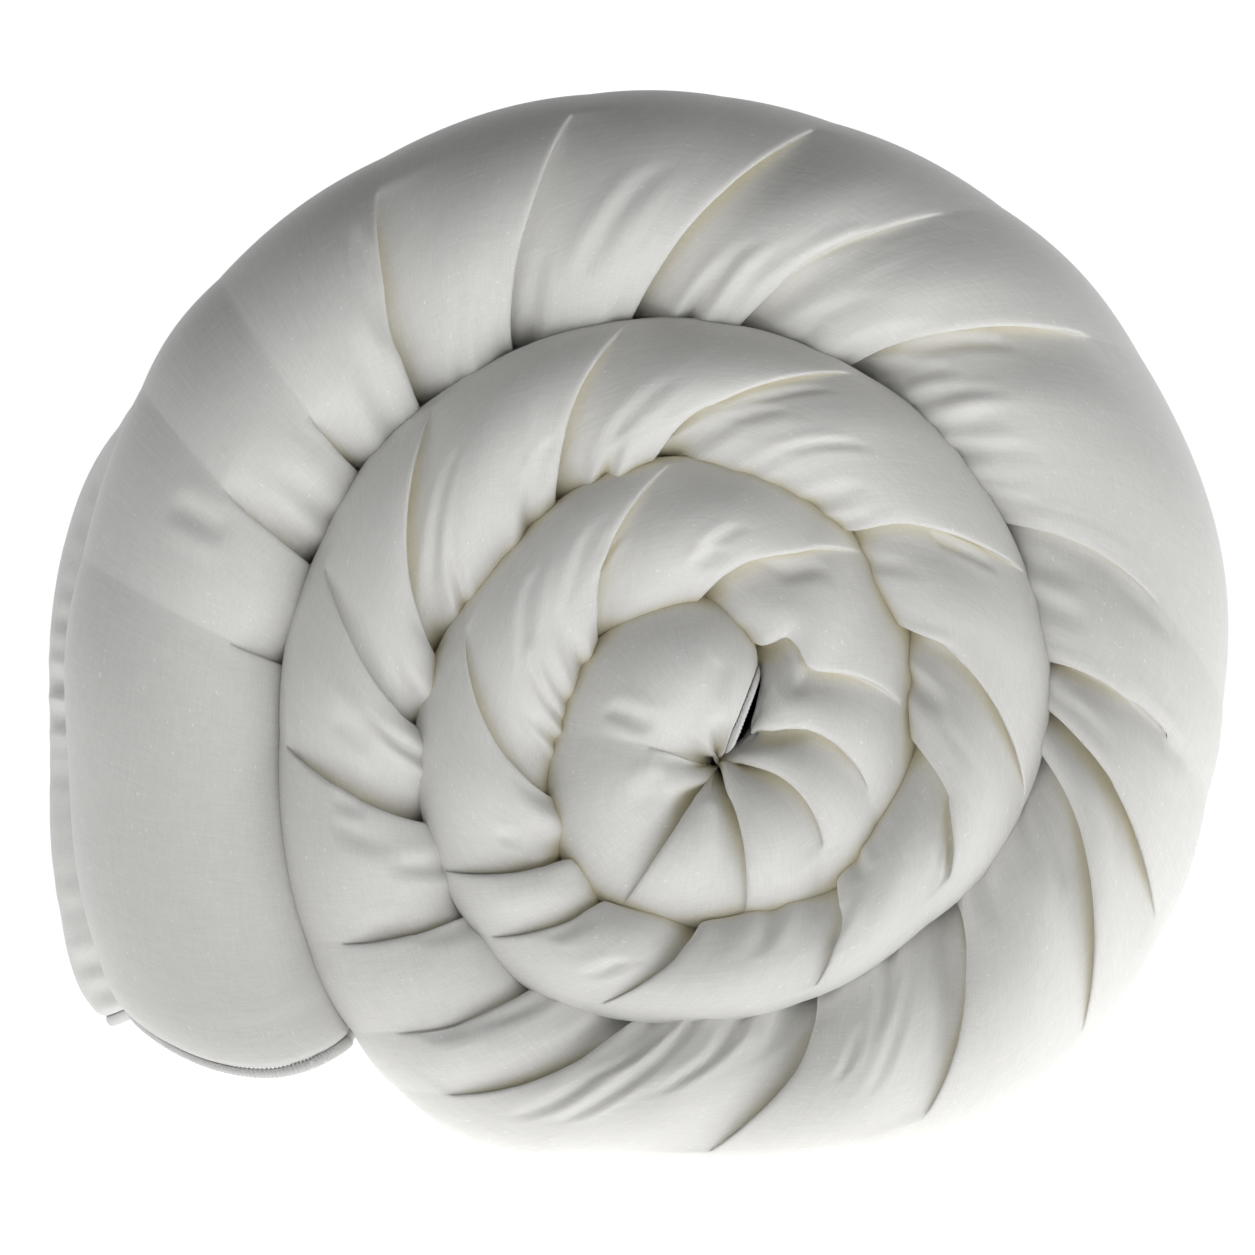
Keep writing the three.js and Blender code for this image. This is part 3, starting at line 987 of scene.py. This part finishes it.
part, share = rows(SHOWN_ROWS, CROWN_ROWS, HIDDEN_ROWS)
face, back, leaf, ends = lay_cloth(part, share)
face_normals, back_normals = outward(face), -outward(back)
across = lengths(face, 1)
along = np.broadcast_to(lengths(face, 0).mean(axis=1)[:, None], across.shape)
marks = np.stack([along, across], axis=-1)

face_cotton = percale("face_cotton", FACE_COLOUR, COTTON_WEAVE)
back_cotton = percale("back_cotton", BACK_COLOUR, COTTON_WEAVE)
thread = percale("overlock_thread", THREAD_COLOUR, THREAD_WEAVE, sheen=0.1)
satin = percale("label_satin", SATIN_COLOUR, SATIN_WEAVE, rough=0.45, sheen=0.1)

every_row = np.arange(face.shape[1])
on_wall = (part == OUTER_WALL) & (share < WALL_NEAR_FOLD)
covered_rows = every_row[~on_wall | (every_row % WALL_EVERY == 0)]
plain = (part == OUTER_WALL) | (part == CROWN)
lining_rows = every_row[~plain | (every_row % LINING_EVERY == 0)]

split = int(np.argmax(leaf == SPLIT + 1))
inner_start = int(np.argmax(leaf == INNER_TURNS + 1))
free = slice(0, split + 1)
roll = slice(split, None)
outer_turn = slice(split, inner_start + 1)
inner_turns = slice(inner_start, None)
cover_free_end = sheet_of("cover_free_end", face[free], face_normals[free], marks[free], face_cotton)
bridge(cover_free_end)
place_piece(cover_free_end, "cotton_face", "free_end_face_panel", "free_end_filling")
covers = (("cover_outer_turn", outer_turn, every_row), ("cover_inner_turns", inner_turns, covered_rows))
for name, span, kept in covers:
    grids = (grid[span][:, kept] for grid in (face, face_normals, marks))
    cover = sheet_of(name, *grids, face_cotton)
    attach(cover, "roll")
    place_piece(cover, "cotton_face", "roll_face_panel", "roll_filling")

linings = (("back_free_end", free, "free_end_back_panel"), ("back_roll", roll, "roll_back_panel"))
for name, span, node in linings:
    grids = (grid[span][:, lining_rows] for grid in (back, back_normals, marks))
    lining = sheet_of(name, *grids, back_cotton, turned_over=True)
    if name == "back_roll":
        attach(lining, "roll")
    else:
        bridge(lining)
    place_piece(lining, "cotton_back", node)

middle = (face + back) / 2
through = unit(face - back)
rearward = np.broadcast_to(BACKWARD, middle[:, 0].shape)
for side, row in (("outer", 0), ("inner", -1)):
    for name, span in (("free_end", free), ("roll", roll)):
        hem = overlock(f"{name}_{side}_overlock", middle[span, row], rearward[span],
                       through[span, row], SIDE_PITCH, thread)
        if name == "roll":
            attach(hem, "roll")
        else:
            bridge(hem)
        place_piece(hem, "overlock_thread", f"{name}_{side}_side_hem")
end_hems = (("free_end_overlock", 0, -1, "free_end", "free_end_hem"),
            ("core_end_overlock", -1, 1, "roll", "core_end_hem"))
for name, end, way, body, node in end_hems:
    hem = overlock(name, middle[end], way * ends[end], through[end], END_PITCH, thread)
    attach(hem, body)
    place_piece(hem, "overlock_thread", node)


LABEL_GRID = (13, 19)
LABEL_CURL = 0.6 * MM


def make_label():
    """A blank satin label that hangs from the hem at the back, a little curled."""
    low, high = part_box("care_label")
    u, v = np.meshgrid(*(np.linspace(0, 1, n) for n in LABEL_GRID), indexing="ij")
    curl = LABEL_CURL * (0.5 + 0.5 * np.sin(2.4 * v + 1.2 * u))
    x = mix(low.x, high.x, u)
    z = mix(low.z, high.z, v)
    front = np.stack([x, low.y + curl, z], axis=-1)
    label = sheet_of("care_label_satin", front, outward(front), np.stack([x, z], axis=-1), satin)
    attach(label, "roll")
    place_piece(label, "label_satin", "care_label")


make_label()
